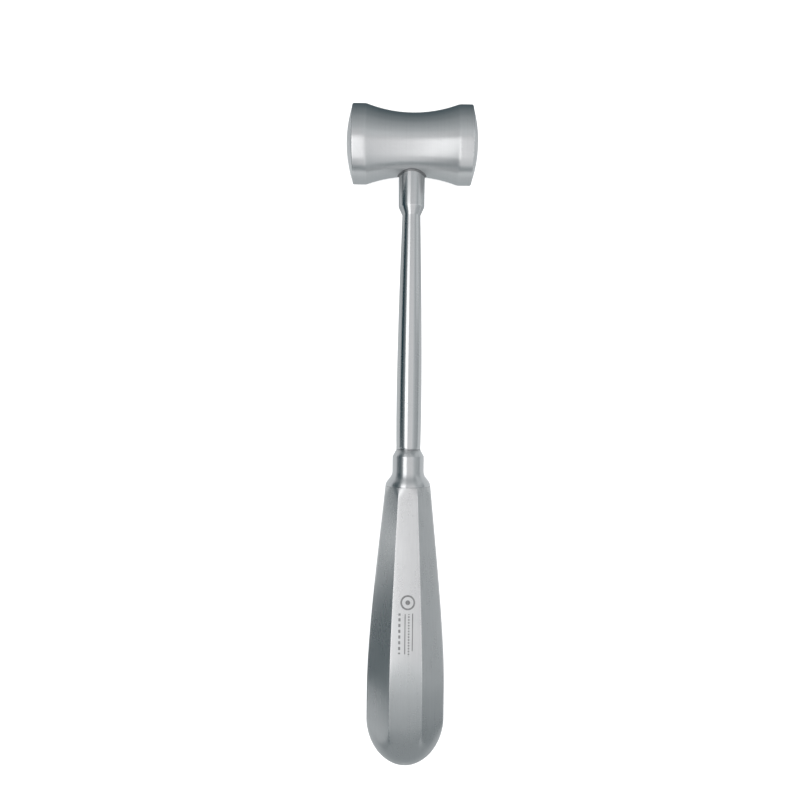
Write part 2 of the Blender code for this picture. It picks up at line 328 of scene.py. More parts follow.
def curve_of(tree, value, points):
    """value read through (place, strength) points, with a soft passage from each to the next."""
    low = points[0][0]
    high = points[-1][0]
    span = tree.nodes.new("ShaderNodeMapRange")
    span.inputs["From Min"].default_value = low
    span.inputs["From Max"].default_value = high
    tree.links.new(value, span.inputs["Value"])
    ramp = tree.nodes.new("ShaderNodeValToRGB")
    ramp.color_ramp.interpolation = "EASE"
    stops = ramp.color_ramp.elements
    while len(stops) < len(points):
        stops.new(0.5)
    for stop, (place, strength) in zip(stops, points):
        stop.position = (place - low) / (high - low)
        stop.color = (strength, strength, strength, 1.0)
    tree.links.new(span.outputs["Result"], ramp.inputs["Fac"])
    return ramp.outputs["Color"]


def maths(tree, operation, first, second=None):
    """A Math node's result. Each input is a number or another node's output."""
    node = tree.nodes.new("ShaderNodeMath")
    node.operation = operation
    for socket, value in zip(node.inputs, (first, second)):
        if value is None:
            continue
        if isinstance(value, (int, float)):
            socket.default_value = value
        else:
            tree.links.new(value, socket)
    return node.outputs[0]


def remap(tree, value, low, high, first, last):
    """value from low..high to first..last, with soft ends and no overshoot."""
    node = tree.nodes.new("ShaderNodeMapRange")
    node.interpolation_type = "SMOOTHSTEP"
    tree.links.new(value, node.inputs["Value"])
    for name, number in zip(("From Min", "From Max", "To Min", "To Max"), (low, high, first, last)):
        node.inputs[name].default_value = number
    return node.outputs["Result"]


def total(tree, start, *parts):
    """start plus each (value, weight)."""
    result = start
    for value, weight in parts:
        node = tree.nodes.new("ShaderNodeMath")
        node.operation = "MULTIPLY_ADD"
        tree.links.new(value, node.inputs[0])
        node.inputs[1].default_value = weight
        if isinstance(result, (int, float)):
            node.inputs[2].default_value = result
        else:
            tree.links.new(result, node.inputs[2])
        result = node.outputs[0]
    return result


def product(tree, *values):
    """All the values multiplied."""
    result = values[0]
    for value in values[1:]:
        result = maths(tree, "MULTIPLY", result, value)
    return result


def diagonal(tree, first, second):
    """Length of the diagonal of two sides at right angles."""
    first_square = maths(tree, "MULTIPLY", first, first)
    second_square = maths(tree, "MULTIPLY", second, second)
    return maths(tree, "SQRT", maths(tree, "ADD", first_square, second_square))


def in_millimetres(tree, place):
    """A position socket in millimetres, and its x, y and z."""
    scaled = tree.nodes.new("ShaderNodeVectorMath")
    scaled.operation = "SCALE"
    scaled.inputs["Scale"].default_value = 1 / MM
    tree.links.new(place, scaled.inputs[0])
    split = tree.nodes.new("ShaderNodeSeparateXYZ")
    tree.links.new(scaled.outputs[0], split.inputs[0])
    return scaled.outputs[0], *split.outputs


class Finish:
    """A metal under construction: its material, its node tree, and the surface point in millimetres.

    rise is the point's height above the mallet's axes. An anisotropic metal is brushed round an axis, or
    along it where turn is 0.
    """

    LEAST_ROUGHNESS = 0.06

    def __init__(self, name, axis=None, anisotropy=0.0, turn=0.0):
        self.material = bpy.data.materials.new(name)
        self.material.use_nodes = True
        self.tree = self.material.node_tree
        self.shader = self.tree.nodes["Principled BSDF"]
        self.shader.inputs["Metallic"].default_value = 1.0
        if axis:
            self.shader.inputs["Anisotropic"].default_value = anisotropy
            self.shader.inputs["Anisotropic Rotation"].default_value = turn
            tangent = self.tree.nodes.new("ShaderNodeTangent")
            tangent.direction_type = "RADIAL"
            tangent.axis = axis
            self.tree.links.new(tangent.outputs[0], self.shader.inputs["Tangent"])
        place = self.tree.nodes.new("ShaderNodeTexCoord")
        self.point, self.x, self.y, self.z = in_millimetres(self.tree, place.outputs["Object"])
        self.rise = maths(self.tree, "SUBTRACT", self.z, AXIS_Z)
        self.flat = None

    def unroll(self, along, side, radius):
        """Unroll the surface flat for scratches: millimetres round an axis, at a radius, and along it.

        Returns the angle round the axis, from straight up.
        """
        turn = maths(self.tree, "ARCTAN2", side, self.rise)
        flat = self.tree.nodes.new("ShaderNodeCombineXYZ")
        self.tree.links.new(maths(self.tree, "MULTIPLY", turn, radius), flat.inputs[0])
        self.tree.links.new(along, flat.inputs[1])
        self.flat = flat.outputs[0]
        return turn

    def noise(self, grain, detail=3.0, turn=0.0, offset=0.0, flat=False):
        """Noise about zero. grain is its fineness per millimetre along x, y and z, after a turn round z."""
        place = self.tree.nodes.new("ShaderNodeMapping")
        place.inputs["Rotation"].default_value = (0.0, 0.0, math.radians(turn))
        self.tree.links.new(self.flat if flat else self.point, place.inputs["Vector"])
        stretch = self.tree.nodes.new("ShaderNodeVectorMath")
        stretch.operation = "MULTIPLY_ADD"
        stretch.inputs[1].default_value = grain
        stretch.inputs[2].default_value = (offset, offset, offset)
        self.tree.links.new(place.outputs[0], stretch.inputs[0])
        node = self.tree.nodes.new("ShaderNodeTexNoise")
        node.inputs["Scale"].default_value = 1.0
        node.inputs["Detail"].default_value = detail
        node.inputs["Roughness"].default_value = 0.6
        self.tree.links.new(stretch.outputs[0], node.inputs["Vector"])
        return maths(self.tree, "SUBTRACT", node.outputs[0], 0.5)

    def scratches(self, turn, offset, least=0.17):
        """Sparse fine lines at a turn in degrees on the unrolled surface: 1 on a scratch and 0 off it."""
        lines = self.noise((0.10, 4.5, 1.0), 1.0, turn, offset, True)
        return remap(self.tree, lines, least, least + 0.06, 0.0, 1.0)

    def near(self, value, place, reach):
        """1 where value is at a place, fading to 0 at a reach either side of it."""
        away = maths(self.tree, "ABSOLUTE", maths(self.tree, "SUBTRACT", value, place))
        return remap(self.tree, away, 0.0, reach, 1.0, 0.0)

    def inside(self, value, middle, half):
        """1 within half of a middle and 0 outside, with a crisp edge."""
        away = maths(self.tree, "ABSOLUTE", maths(self.tree, "SUBTRACT", value, middle))
        return maths(self.tree, "LESS_THAN", away, half)

    def done(self, colour, tone, roughness, height, tarnish=None):
        """Paint the shader. tone multiplies the colour, and height is in millimetres.

        tarnish is (share, colour).
        """
        tree = self.tree
        shade = tree.nodes.new("ShaderNodeVectorMath")
        shade.operation = "SCALE"
        shade.inputs[0].default_value = colour
        tree.links.new(tone, shade.inputs["Scale"])
        painted = shade.outputs[0]
        if tarnish:
            mix = tree.nodes.new("ShaderNodeMix")
            mix.data_type = "RGBA"
            tree.links.new(tarnish[0], mix.inputs["Factor"])
            tree.links.new(painted, mix.inputs[6])
            mix.inputs[7].default_value = (*tarnish[1], 1.0)
            painted = mix.outputs[2]
        tree.links.new(painted, self.shader.inputs["Base Color"])
        rough = maths(tree, "MAXIMUM", roughness, self.LEAST_ROUGHNESS)
        tree.links.new(rough, self.shader.inputs["Roughness"])
        bump = tree.nodes.new("ShaderNodeBump")
        bump.inputs["Distance"].default_value = MM
        tree.links.new(height, bump.inputs["Height"])
        tree.links.new(bump.outputs[0], self.shader.inputs["Normal"])
        return self.material


def satin_head():
    """Barrel: fine turning marks, a soft hand finish, brighter edges, and dings on the two faces."""
    made = Finish("satin_head", "X", 0.82, 0.25)
    tree = made.tree
    made.unroll(made.x, maths(tree, "SUBTRACT", made.y, HEAD_AXIS_Y), HEAD_UNROLLED)
    cloud = made.noise((0.13, 0.13, 0.13))
    lines = made.noise((3.2, 0.035, 0.035), 1.5)
    bands = made.noise((0.8, 0.03, 0.03), 2.0, offset=7.0)
    silk = made.noise((0.12, 1.6, 1.6), 3.0, offset=3.0)
    across = made.scratches(38.0, 11.0)
    size = maths(tree, "ABSOLUTE", made.x)
    rim = made.near(size, BAND_END - 0.05, 0.5)
    shoulder = made.near(size, WAIST_HALF, 0.35)
    edges = maths(tree, "MAXIMUM", rim, maths(tree, "MULTIPLY", shoulder, 0.35))
    worn = maths(tree, "MULTIPLY", edges, remap(tree, cloud, -0.15, 0.1, 0.4, 1.0))
    cells = tree.nodes.new("ShaderNodeTexVoronoi")
    cells.inputs["Scale"].default_value = 0.85
    tree.links.new(made.point, cells.inputs["Vector"])
    hit = product(
        tree,
        remap(tree, cells.outputs["Distance"], 0.08, 0.42, 1.0, 0.0),
        remap(tree, size, BAND_END + 0.2, BAND_END + 0.9, 0.0, 1.0),
        remap(tree, made.noise((0.3, 0.3, 0.3), 1.0, offset=5.0), -0.02, 0.1, 0.0, 1.0),
    )
    tone = total(tree, 1.0, (cloud, 0.08), (lines, 0.08), (bands, 0.05), (silk, 0.07), (worn, 0.08),
                 (across, -0.05), (hit, -0.06))
    rough = total(tree, 0.32, (cloud, 0.10), (lines, 0.07), (silk, 0.05), (worn, -0.10), (across, 0.08),
                  (hit, 0.1))
    height = total(tree, 0.0, (lines, 0.0022), (silk, 0.0016), (cloud, 0.02), (across, -0.002), (hit, -0.03))
    return made.done((0.668, 0.67, 0.673), tone, rough, height)


def polished_bar():
    """Shaft: polished round and round, with faint lengthwise streaks, waviness and handling scratches."""
    made = Finish("polished_bar", "Y", 0.95, 0.25)
    tree = made.tree
    made.unroll(made.y, made.x, SHAFT_UNROLLED)
    cloud = made.noise((0.22, 0.07, 0.22))
    rings = made.noise((0.05, 3.0, 0.05), 1.5)
    streaks = made.noise((5.0, 0.05, 5.0), 3.0, offset=4.0)
    along = made.scratches(84.0, 2.0)
    across = made.scratches(22.0, 9.0)
    collar = made.near(made.y, HEAD_AXIS_Y - COLLAR_END, 0.45)
    tone = total(tree, 1.0, (cloud, 0.06), (rings, 0.06), (streaks, 0.07), (collar, 0.08), (across, -0.05))
    rough = total(tree, 0.20, (cloud, 0.08), (rings, 0.04), (streaks, 0.04), (along, 0.06), (across, 0.08),
                  (collar, -0.05))
    height = total(tree, 0.0, (rings, 0.0010), (streaks, 0.0008), (cloud, 0.006), (along, -0.001),
                   (across, -0.001))
    return made.done((0.60, 0.605, 0.61), tone, rough, height)


def turned_neck():
    """Ferrule: a satin turned finish, with a bright edge at the shoulder."""
    made = Finish("turned_neck", "Y", 0.96, 0.25)
    tree = made.tree
    made.unroll(made.y, made.x, NECK_UNROLLED)
    cloud = made.noise((0.25, 0.18, 0.25))
    rings = made.noise((0.06, 3.0, 0.06), 1.5)
    across = made.scratches(30.0, 6.0)
    worn = made.near(made.y, HEAD_AXIS_Y - SHOULDER, 0.3)
    tone = total(tree, 1.0, (cloud, 0.07), (rings, 0.06), (worn, 0.05), (across, -0.05))
    rough = total(tree, 0.32, (cloud, 0.08), (rings, 0.06), (worn, -0.07), (across, 0.08))
    height = total(tree, 0.0, (rings, 0.0018), (cloud, 0.006), (across, -0.0015))
    return made.done((0.63, 0.635, 0.64), tone, rough, height)


def etched_mark(made):
    """A plain etched device on the front facet, a ring with a dot and four rules: 1 on it and 0 off it."""
    tree = made.tree
    dx = maths(tree, "SUBTRACT", made.x, MARK_CENTRE[0])
    dy = maths(tree, "SUBTRACT", made.y, MARK_CENTRE[1])
    out = diagonal(tree, dx, dy)
    mark = maths(tree, "MAXIMUM", made.inside(out, MARK_RING_RADIUS, MARK_RING_WIDTH / 2),
                 maths(tree, "LESS_THAN", out, MARK_DOT_RADIUS))
    for place, half_width, start, end, dash in MARK_RULES:
        rule = product(tree, made.inside(dx, place, half_width),
                       made.inside(dy, (start + end) / 2, (start - end) / 2))
        if dash:
            dashes = maths(tree, "LESS_THAN", maths(tree, "PINGPONG", dy, dash), MARK_DASH_SHARE * dash)
            rule = product(tree, rule, dashes)
        mark = maths(tree, "MAXIMUM", mark, rule)
    return product(tree, mark, maths(tree, "GREATER_THAN", made.rise, 0.0))


def brushed_grip(name, marked):
    """Handle shells: satin brushed along the handle, polished by the hand on the facets' edges."""
    made = Finish(name, "Y", 0.65, 0.0)
    tree = made.tree
    turn = made.unroll(made.y, made.x, GRIP_UNROLLED)
    cloud = made.noise((0.11, 0.09, 0.11))
    lines = made.noise((3.0, 0.05, 3.0), 1.0)
    coarse = made.noise((1.1, 0.03, 1.1), 2.0, offset=8.0)
    slant = made.noise((0.5, 2.4, 0.5), 2.0, 12.0, 2.0)
    along = made.scratches(83.0, 3.0)
    across = made.scratches(31.0, 14.0, least=0.19)
    octants = maths(tree, "FRACT", maths(tree, "ADD", maths(tree, "DIVIDE", turn, OCTANT), 8.0))
    fade = remap(tree, made.y, HEAD_AXIS_Y - FACETS_FADE_TO, HEAD_AXIS_Y - FACETS_FADE_FROM, 0.0, 1.0)
    worn = product(tree, made.near(octants, 0.5, 0.05), fade, remap(tree, cloud, -0.2, 0.1, 0.45, 1.0))
    lip = made.near(made.y, HEAD_AXIS_Y - SHOULDER, 0.25)
    tone_parts = [(cloud, 0.10), (lines, 0.05), (coarse, 0.10), (slant, 0.02), (worn, 0.10), (lip, 0.06),
                  (across, -0.04), (along, -0.04)]
    rough_parts = [(cloud, 0.10), (lines, 0.03), (coarse, 0.06), (slant, 0.02), (worn, -0.04), (across, 0.05),
                   (along, 0.05)]
    height_parts = [(lines, 0.0006), (coarse, 0.0016), (slant, 0.0004), (cloud, 0.016), (across, -0.001),
                    (along, -0.002)]
    if marked:
        mark = etched_mark(made)
        mottle = product(tree, mark, remap(tree, lines, -0.2, 0.2, 0.8, 1.0))
        tone_parts.append((mottle, -0.66))
        rough_parts.append((mark, 0.16))
        height_parts.append((mark, -0.002))
    tone = total(tree, 1.0, *tone_parts)
    rough = total(tree, 0.29, *rough_parts)
    height = total(tree, 0.0, *height_parts)
    return made.done((0.624, 0.625, 0.627), tone, rough, height)


def faced_plug():
    """Vent plug: rings left by facing it flush."""
    made = Finish("faced_plug")
    tree = made.tree
    out = diagonal(tree, made.x, made.rise)
    rings = maths(tree, "SINE", maths(tree, "MULTIPLY", out, 21.0))
    cloud = made.noise((0.5, 0.5, 0.5))
    grain = made.noise((5.0, 5.0, 5.0), 2.0)
    edge = made.near(out, VENT_RADIUS, 0.12)
    tone = total(tree, 0.98, (rings, 0.03), (cloud, 0.12), (grain, 0.06), (edge, -0.2))
    rough = total(tree, 0.34, (rings, 0.03), (cloud, 0.12), (grain, 0.08))
    height = total(tree, 0.0, (rings, 0.0015), (grain, 0.002))
    return made.done((0.61, 0.615, 0.62), tone, rough, height)


def silver_solder():
    """Hard solder, painted much darker than the steel as painted shade for the corner round the collar.
    Slightly rippled and pitted.
    """
    made = Finish("silver_solder")
    tree = made.tree
    ripple = made.noise((1.3, 1.3, 1.3), 2.0)
    grain = made.noise((7.0, 7.0, 7.0), 3.0, offset=3.0)
    pits = remap(tree, made.noise((3.0, 3.0, 3.0), 1.0, offset=6.0), 0.14, 0.2, 0.0, 1.0)
    tone = total(tree, 1.0, (ripple, 0.25), (grain, 0.15), (pits, -0.3))
    rough = total(tree, 0.38, (ripple, 0.15), (grain, 0.12), (pits, 0.15))
    height = total(tree, 0.0, (ripple, 0.03), (grain, 0.003), (pits, -0.01))
    # Painted shade: this dark colour stands for the shade in the corner between the collar and the head
    return made.done((0.23, 0.232, 0.236), tone, rough, height)


def ground_weld():
    """Seam welds: cross-ground flush, with a trace of straw tint left by the heat."""
    made = Finish("ground_weld", "Y", 0.6, 0.25)
    tree = made.tree
    cloud = made.noise((0.3, 0.16, 0.3))
    grind = made.noise((0.4, 4.5, 0.4), 3.0, 9.0)
    ripple = maths(tree, "SINE", maths(tree, "MULTIPLY", made.y, 5.2))
    tone = total(tree, 0.96, (cloud, 0.12), (grind, 0.14), (ripple, 0.015))
    rough = total(tree, 0.33, (cloud, 0.12), (grind, 0.12))
    height = total(tree, 0.0, (grind, 0.003), (ripple, 0.0012), (cloud, 0.01))
    heat = remap(tree, cloud, -0.02, 0.22, 0.0, 0.35)
    return made.done((0.61, 0.61, 0.61), tone, rough, height, (heat, (0.60, 0.54, 0.44)))


# ---------------------------------------------------------------- pieces


def head_outline():
    """(radius, height) outline of the barrel, from one face to the other."""
    edge = HEAD_RADIUS - RIM_ROUNDING
    ball = (edge ** 2 + DOME_HEIGHT ** 2) / (2 * DOME_HEIGHT)
    half_angle = math.degrees(math.asin(edge / ball))
    dome = arc(ball, (0.0, HEAD_HALF_LENGTH - ball), 90.0, 90.0 - half_angle, 24)[:-1]
    dome[0] = (0.0, HEAD_HALF_LENGTH)
    swing = math.degrees(math.asin(WAIST_HALF / WAIST_SWEEP))
    waist = arc(WAIST_SWEEP, (WAIST_RADIUS + WAIST_SWEEP, 0.0), 180.0 - swing, 180.0 + swing, 64)
    # The rounding of the two shoulders takes up the waist's ends
    waist = waist[2:-2]
    rim = eased([
        dome[-1],
        (HEAD_RADIUS, BAND_END + 0.02, RIM_ROUNDING),
        (HEAD_RADIUS, WAIST_HALF, BAND_ROUNDING),
        waist[0],
    ])[1:-1]
    upper = dome + rim
    return upper + waist + [(radius, -height) for radius, height in reversed(upper)]


def make_head(material):
    """The barrel, with the collar's seat, the spigot's bore and the pin's hole cut into it."""
    points, faces = lathe(head_outline(), HEAD_STEPS, across_head)
    head = mesh_object("head", points, faces, material, "head_barrel")
    seat = COLLAR_RADIUS + SEAT_EASE
    bore = SPIGOT_RADIUS + BORE_EASE
    seat_floor = SEAT_STATION - SEAT_DEEPER
    bore_floor = -SPIGOT_DEPTH - SEAT_DEEPER
    outline = [
        (0.0, OVERRUN),
        (seat, OVERRUN),
        (seat, seat_floor),
        (bore, seat_floor),
        (bore, bore_floor),
        (0.0, bore_floor),
    ]
    cut(head, *lathe(outline, SMALL_STEPS, along_handle))
    hole = PIN_RADIUS + HAIRLINE
    outline = [(0.0, PIN_TIP), (hole, PIN_TIP), (hole, -OVERRUN), (0.0, -OVERRUN)]
    cut(head, *lathe(outline, PIN_STEPS, upright))


def make_shaft(material):
    """The bar in one piece: spigot, collar, cone, taper and tang."""
    taper = bezier((CONE_END, SHAFT_RADIUS_TOP), SHAFT_BOW, (FERRULE_START, SHAFT_RADIUS_END), 60)
    corners = [
        (-SPIGOT_DEPTH, 0.0),
        (-SPIGOT_DEPTH, SPIGOT_RADIUS, 0.3),
        (SEAT_STATION, SPIGOT_RADIUS),
        (SEAT_STATION, COLLAR_RADIUS, 0.1),
        (COLLAR_END, COLLAR_RADIUS_END, 0.5),
        (*taper[0], 0.8),
        *taper[2:],
        (FERRULE_START, SPIGOT_RADIUS),
        (TANG_END, SPIGOT_RADIUS, 0.5),
        (TANG_END, 0.0),
    ]
    outline = [(radius, station) for station, radius in eased(corners)]
    points, faces = lathe(outline, BAR_STEPS, along_handle)
    mesh_object("shaft_bar", points, faces, material, "shaft")


def make_ferrule(material):
    """The neck: chamfer, ring and flare, with a spigot inside the handle."""
    flare = bezier((RING_END, RING_RADIUS), FLARE_BOW, (SHOULDER, SHOULDER_RADIUS), 32)
    bore = SPIGOT_RADIUS + BORE_EASE
    corners = [
        (FERRULE_START, bore),
        (FERRULE_START, SHAFT_RADIUS_END),
        (RING_START, RING_RADIUS, 0.15),
        *flare,
        (SHOULDER, FERRULE_SPIGOT_RADIUS),
        (FERRULE_END, FERRULE_SPIGOT_RADIUS, 0.3),
        (FERRULE_END, bore),
    ]
    outline = [(radius, station) for station, radius in eased(corners)]
    points, faces = lathe(outline, BAR_STEPS, along_handle)
    mesh_object("neck", points, faces, material, "neck_ferrule")


def grip_stations(last_half):
    """(station, half width) of the handle's skin, from the shoulder to a last half width at the butt."""
    lip = [(SHOULDER + 0.03, SHOULDER_RADIUS - 0.03), (SHOULDER + 0.07, SHOULDER_RADIUS)]
    first = (SHOULDER + 0.2, SHOULDER_RADIUS + SKIN_PROUD)
    body = bezier(first, HANDLE_BOW, (HANDLE_FULL, HANDLE_HALF_WIDTH), BODY_ROWS)
    straight = [(s, HANDLE_HALF_WIDTH) for s in np.linspace(HANDLE_FULL, BUTT_START, STRAIGHT_ROWS + 1)[1:]]
    last = math.acos((last_half / HANDLE_HALF_WIDTH) ** (BUTT_TIP_FULLNESS / 2))
    butt = []
    for angle in np.linspace(0.0, last, BUTT_ROWS + 1)[1:]:
        station = BUTT_START + (BUTT_END - BUTT_START) * math.sin(angle) ** (2 / BUTT_SIDE_FULLNESS)
        butt.append((station, HANDLE_HALF_WIDTH * math.cos(angle) ** (2 / BUTT_TIP_FULLNESS)))
    return lip + body + straight + butt


def smoothstep(x, low, high):
    """0 up to low and 1 from high, with a soft passage between them."""
    share = max(0.0, min(1.0, (x - low) / (high - low)))
    return share * share * (3.0 - 2.0 * share)


def roundness(station):
    """1 where the handle is round, at the butt, and 0 where it is an octagon."""
    return smoothstep(station, FACETS_FADE_FROM, FACETS_FADE_TO)


def trimmed(station, x, height):
    """A point of the octagon, kept inside the round that the handle starts from at the shoulder."""
    share = (station - SHOULDER) / (FACETS_BEGIN - SHOULDER)
    corner_rise = (1 / math.cos(OCTANT / 2) - 1) * SHOULDER_RADIUS
    limit = SHOULDER_RADIUS + SKIN_PROUD + corner_rise * max(share, 0.0) ** FACETS_BEGIN_POWER
    out = math.hypot(x, height)
    if share > 1.0 or out < limit:
        return x, height
    return x * limit / out, height * limit / out


def grip_section(station, half, seam):
    """The front half of the section: shallow arcs for the facets, joined by small arcs at the corners.

    A facet's arc has its centre sunk below the axis. mix is 0 for an octagon and near 1 for a round.
    """
    mix = roundness(station) * LAST_ROUNDNESS
    facet = 1.0 / ((1 - mix) / FACET_RADIUS + mix / half)
    sunk = facet - half
    corners = []
    for sharp in (SIDE_CORNER_RADIUS, CORNER_RADIUS, CORNER_RADIUS, SIDE_CORNER_RADIUS):
        corner = sharp + (LAST_CORNER_SHARE * half - sharp) * mix
        b = sunk * math.cos(OCTANT / 2)
        reach = -b + math.sqrt(b * b + (facet - corner) ** 2 - sunk ** 2)
        span = math.atan2(reach * math.sin(OCTANT / 2), reach * math.cos(OCTANT / 2) + sunk)
        corners.append((corner, reach, span))
    edge = math.asin(seam / facet)
    points = []
    for k in range(5):
        base = OCTANT * k
        low = edge if k == 0 else -corners[k - 1][2]
        high = -edge if k == 4 else corners[k][2]
        for swing in np.linspace(low, high, FACET_POINTS if 0 < k < 4 else HALF_FACET_POINTS):
            points.append((facet * math.cos(base + swing) - sunk * math.cos(base),
                           facet * math.sin(base + swing) - sunk * math.sin(base)))
        if k == 4:
            break
        corner, reach, span = corners[k]
        middle = base + OCTANT / 2
        for swing in np.linspace(base + span, base + OCTANT - span, FACET_POINTS)[1:-1]:
            points.append((reach * math.cos(middle) + corner * math.cos(swing),
                           reach * math.sin(middle) + corner * math.sin(swing)))
    return [trimmed(station, *point) for point in points]


def make_grip(name, side, material, node):
    """One half shell, 1 for the front and -1 for the rear. Its skin is thickened inwards."""
    rows = []
    for station, half in grip_stations(VENT_RADIUS + HAIRLINE):
        rows.append([(x, HEAD_AXIS_Y - station, AXIS_Z + side * z)
                     for x, z in grip_section(station, half, SEAM_WIDTH / 2)])
    wide = len(rows[0])
    points = [point for row in rows for point in row]
    faces = []
    for i in range(len(rows) - 1):
        for k in range(wide - 1):
            a = i * wide + k
            quad = (a, a + wide, a + wide + 1, a + 1)
            faces.append(quad if side < 0 else quad[::-1])
    made = mesh_object(name, points, faces, material, node)
    wall = made.modifiers.new("Wall", "SOLIDIFY")
    wall.thickness = WALL * MM
    wall.offset = -1.0
    wall.use_even_offset = True


def waist_radius(x):
    """Radius of the head's hollow at a place along the head."""
    return WAIST_RADIUS + WAIST_SWEEP - math.sqrt(WAIST_SWEEP ** 2 - x ** 2)


def make_solder_ring(material):
    """The fillet of solder in the corner between the collar and the hollow of the head."""

    def head_surface(radius, angle):
        """Station of the head's surface over a point of the ring."""
        x = radius * math.cos(angle)
        z = radius * math.sin(angle)
        return math.sqrt(waist_radius(x) ** 2 - z ** 2)

    points = []
    for angle in around(BAR_STEPS):
        section = []
        for swing in np.linspace(0, math.pi / 2, 9):
            radius = COLLAR_RADIUS + FILLET_EASE + FILLET * (1 - math.cos(swing))
            lift = FILLET * (1 - math.sin(swing)) + FILLET_EASE
            section.append((radius, head_surface(radius, angle) + lift))
        outside = COLLAR_RADIUS + FILLET
        section.append((outside, head_surface(outside, angle) - FILLET_BED))
        section.append((COLLAR_RADIUS + FILLET_EASE, head_surface(COLLAR_RADIUS, angle) - FILLET_ROOT))
        for radius, station in section:
            points.append(along_handle(radius * math.cos(angle), radius * math.sin(angle), station))
    faces = between_rings(BAR_STEPS, len(section), closed=True)
    mesh_object("solder_ring", points, faces, material, "head_braze_ring")


def make_pin(material):
    """The locking pin, dressed flush with the back of the waist."""
    # (radius, how far it is sunk below the waist's surface), or None at the inner end
    rings = [
        (0.45, 0.0),
        (0.85, 0.0),
        (PIN_RADIUS - 0.12, 0.0),
        (PIN_RADIUS - 0.03, 0.02),
        (PIN_RADIUS, 0.09),
        (PIN_RADIUS, None),
        (0.7, None),
    ]
    points = []
    for radius, sunk in rings:
        for angle in around(PIN_STEPS):
            x = radius * math.cos(angle)
            y = radius * math.sin(angle)
            low = PIN_TIP if sunk is None else sunk - math.sqrt(waist_radius(x) ** 2 - y ** 2)
            points.append(upright(x, y, low))
    faces = [tuple(range(PIN_STEPS)), tuple(range(len(points) - PIN_STEPS, len(points)))]
    faces += between_rings(len(rings), PIN_STEPS)
    mesh_object("lock_pin", points, faces, material, "head_lock_pin")


def make_seam(name, side, material, node):
    """The ground weld between the two half shells, along one side: 1 or -1."""
    edge = SEAM_WIDTH / 2 - SEAM_EASE
    rows = []
    for station, half in grip_stations(VENT_RADIUS + 4 * HAIRLINE):
        y = HEAD_AXIS_Y - station
        outer = []
        for z in np.linspace(-edge, edge, 7):
            bulge = SEAM_CREST * (1 - (2 * z / SEAM_WIDTH) ** 2)
            outer.append((side * (half + bulge), y, AXIS_Z + z))
        inner = [(side * (half - WALL), y, z) for _, y, z in (outer[-1], outer[0])]
        rows.append(outer + inner)
    wide = len(rows[0])
    points = [point for row in rows for point in row]
    faces = [tuple(range(wide)), tuple(range(len(points) - wide, len(points)))]
    faces += between_rings(len(rows), wide)
    mesh_object(name, points, faces, material, node)


def make_vent_plug(material):
    """The plug in the butt, dressed to its curve."""
    outer = []
    for radius in np.linspace(0.0, VENT_RADIUS - 0.06, 12):
        share = (1.0 - (radius / HANDLE_HALF_WIDTH) ** BUTT_TIP_FULLNESS) ** (1.0 / BUTT_SIDE_FULLNESS)
        outer.append((radius, BUTT_START + (BUTT_END - BUTT_START) * share))
    edge = outer[-1][1]
    inside = BUTT_END - VENT_PLUG_LENGTH
    outline = outer + [(VENT_RADIUS - 0.015, edge - 0.05), (VENT_RADIUS, edge - 0.14),
                       (VENT_RADIUS, inside + 0.3), (VENT_RADIUS - 0.3, inside), (0.0, inside)]
    points, faces = lathe(outline, SMALL_STEPS, along_handle)
    mesh_object("vent_plug", points, faces, material, "butt_vent_plug")


satin = satin_head()
brushed = brushed_grip("brushed_grip", False)
solder = silver_solder()
weld = ground_weld()

make_head(satin)
make_shaft(polished_bar())
make_ferrule(turned_neck())
make_grip("grip_front", 1, brushed_grip("brushed_grip_marked", True), "handle_shell_front")
make_grip("grip_rear", -1, brushed, "handle_shell_rear")
make_solder_ring(solder)
make_pin(satin)
make_seam("seam_right", 1, weld, "seam_weld_right")
make_seam("seam_left", -1, weld, "seam_weld_left")
make_vent_plug(faced_plug())
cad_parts["tang_braze_ring"].data.materials.clear()
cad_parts["tang_braze_ring"].data.materials.append(solder)

# ---------------------------------------------------------------- studio

# The camera looks straight down. Its height is above the mallet's axes.
CAMERA_HEIGHT = 273.7
CAMERA_POINT = (-3.0, 11.5)
CAMERA_LENS = 36.78
CAMERA_ROLL = math.radians(0.75)

FLOOR_RADIUS = 20000.0
FLOOR_SIDES = 64
FLOOR_WHITE = 0.86
FLOOR_GLOW = 0.62
DOME_RADIUS = 3000.0
DOME_TURNS = 96
DOME_ROWS = 24


def seen_by(made, camera=False, glossy=False, diffuse=False):
    """Choose which rays meet a stage object. None casts a shadow."""
    made.visible_camera = camera
    made.visible_glossy = glossy
    made.visible_diffuse = diffuse
    made.visible_shadow = False
    made.visible_transmission = camera
    made.visible_volume_scatter = False


def glow(name, strength):
    """(material, node tree, emission node) of a surface that only glows, and isn't sampled as a lamp."""
    made = bpy.data.materials.new(name)
    made.use_nodes = True
    tree = made.node_tree
    tree.nodes.clear()
    emission = tree.nodes.new("ShaderNodeEmission")
    emission.inputs["Strength"].default_value = strength
    output = tree.nodes.new("ShaderNodeOutputMaterial")
    tree.links.new(emission.outputs[0], output.inputs["Surface"])
    made.cycles.emission_sampling = "NONE"
    return made, tree, emission


def stage_mesh(name, points, faces, material):
    """A stage object, which is no part of the mallet."""
    mesh = plain_mesh(name, points, faces)
    mesh.materials.append(material)
    made = linked(name, mesh)
    return made


def floor_disc():
    """(points, face) of a wide level disc at the ground."""
    points = [(FLOOR_RADIUS * math.cos(a), FLOOR_RADIUS * math.sin(a), 0.0) for a in around(FLOOR_SIDES)]
    return points, [tuple(range(FLOOR_SIDES))]


